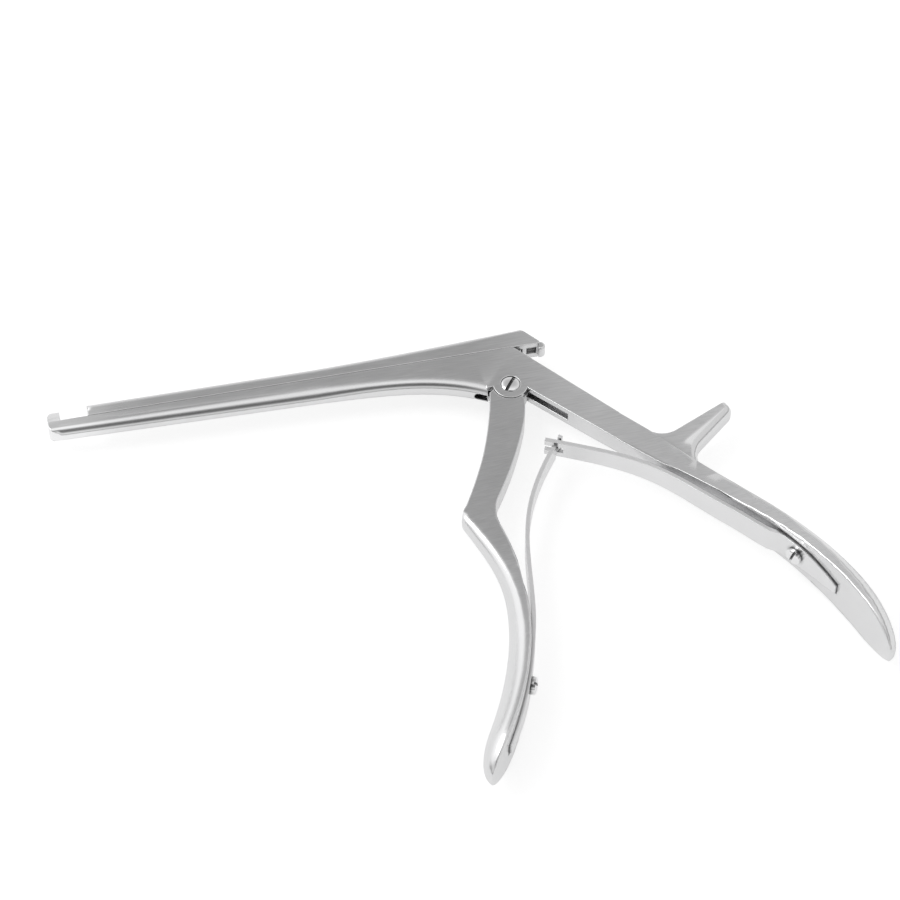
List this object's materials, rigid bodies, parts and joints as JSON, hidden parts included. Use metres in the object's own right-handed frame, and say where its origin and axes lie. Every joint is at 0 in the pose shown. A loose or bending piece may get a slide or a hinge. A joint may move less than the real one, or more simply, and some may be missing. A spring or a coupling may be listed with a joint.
{
  "type": "bone rongeur",
  "caption": "Upbiting bone punch with a fixed lower shaft and footplate, a sliding upper shaft, sprung plier handles and interlocking leaf springs.",
  "frame": {"origin": "pivot axis where it meets the body's lower flat side", "axes": "+X along the shaft towards the rear, away from the jaw; +Y from the pivot towards the sliding shaft; +Z through the thickness"},
  "size_m": [0.1987, 0.1345, 0.0156],
  "materials": {
    "satin_steel": "brushed",
    "spring_steel": "satin",
    "bright_steel": "polished"
  },
  "bodies": {
    "frame": {"fixed_shaft": "satin_steel", "pivot_screw": "bright_steel", "rear_leaf_spring": "spring_steel", "rear_spring_screw": "bright_steel"},
    "handle": {"front_handle": "satin_steel", "front_leaf_spring": "spring_steel", "front_spring_screw": "bright_steel"},
    "slider": {"sliding_shaft": "satin_steel"}
  },
  "joints": [
    {"name": "handle_pivot", "type": "hinge", "parent": "frame", "child": "handle", "pos_m": [0, 0, 0], "axis": [0, 0, 1], "range_deg": [0, 31.5], "stiffness_Nm_per_rad": 1, "springref_deg": -6.88, "deforming": ["rear_leaf_spring", "front_leaf_spring"]},
    {"name": "slider_slide", "type": "slide", "parent": "frame", "child": "slider", "axis": [-1, 0, 0], "range_m": [0, 0.00726]}
  ],
  "couplings": [
    {"joint": "slider_slide", "follows": "handle_pivot", "m_per_rad": 0.01315}
  ]
}
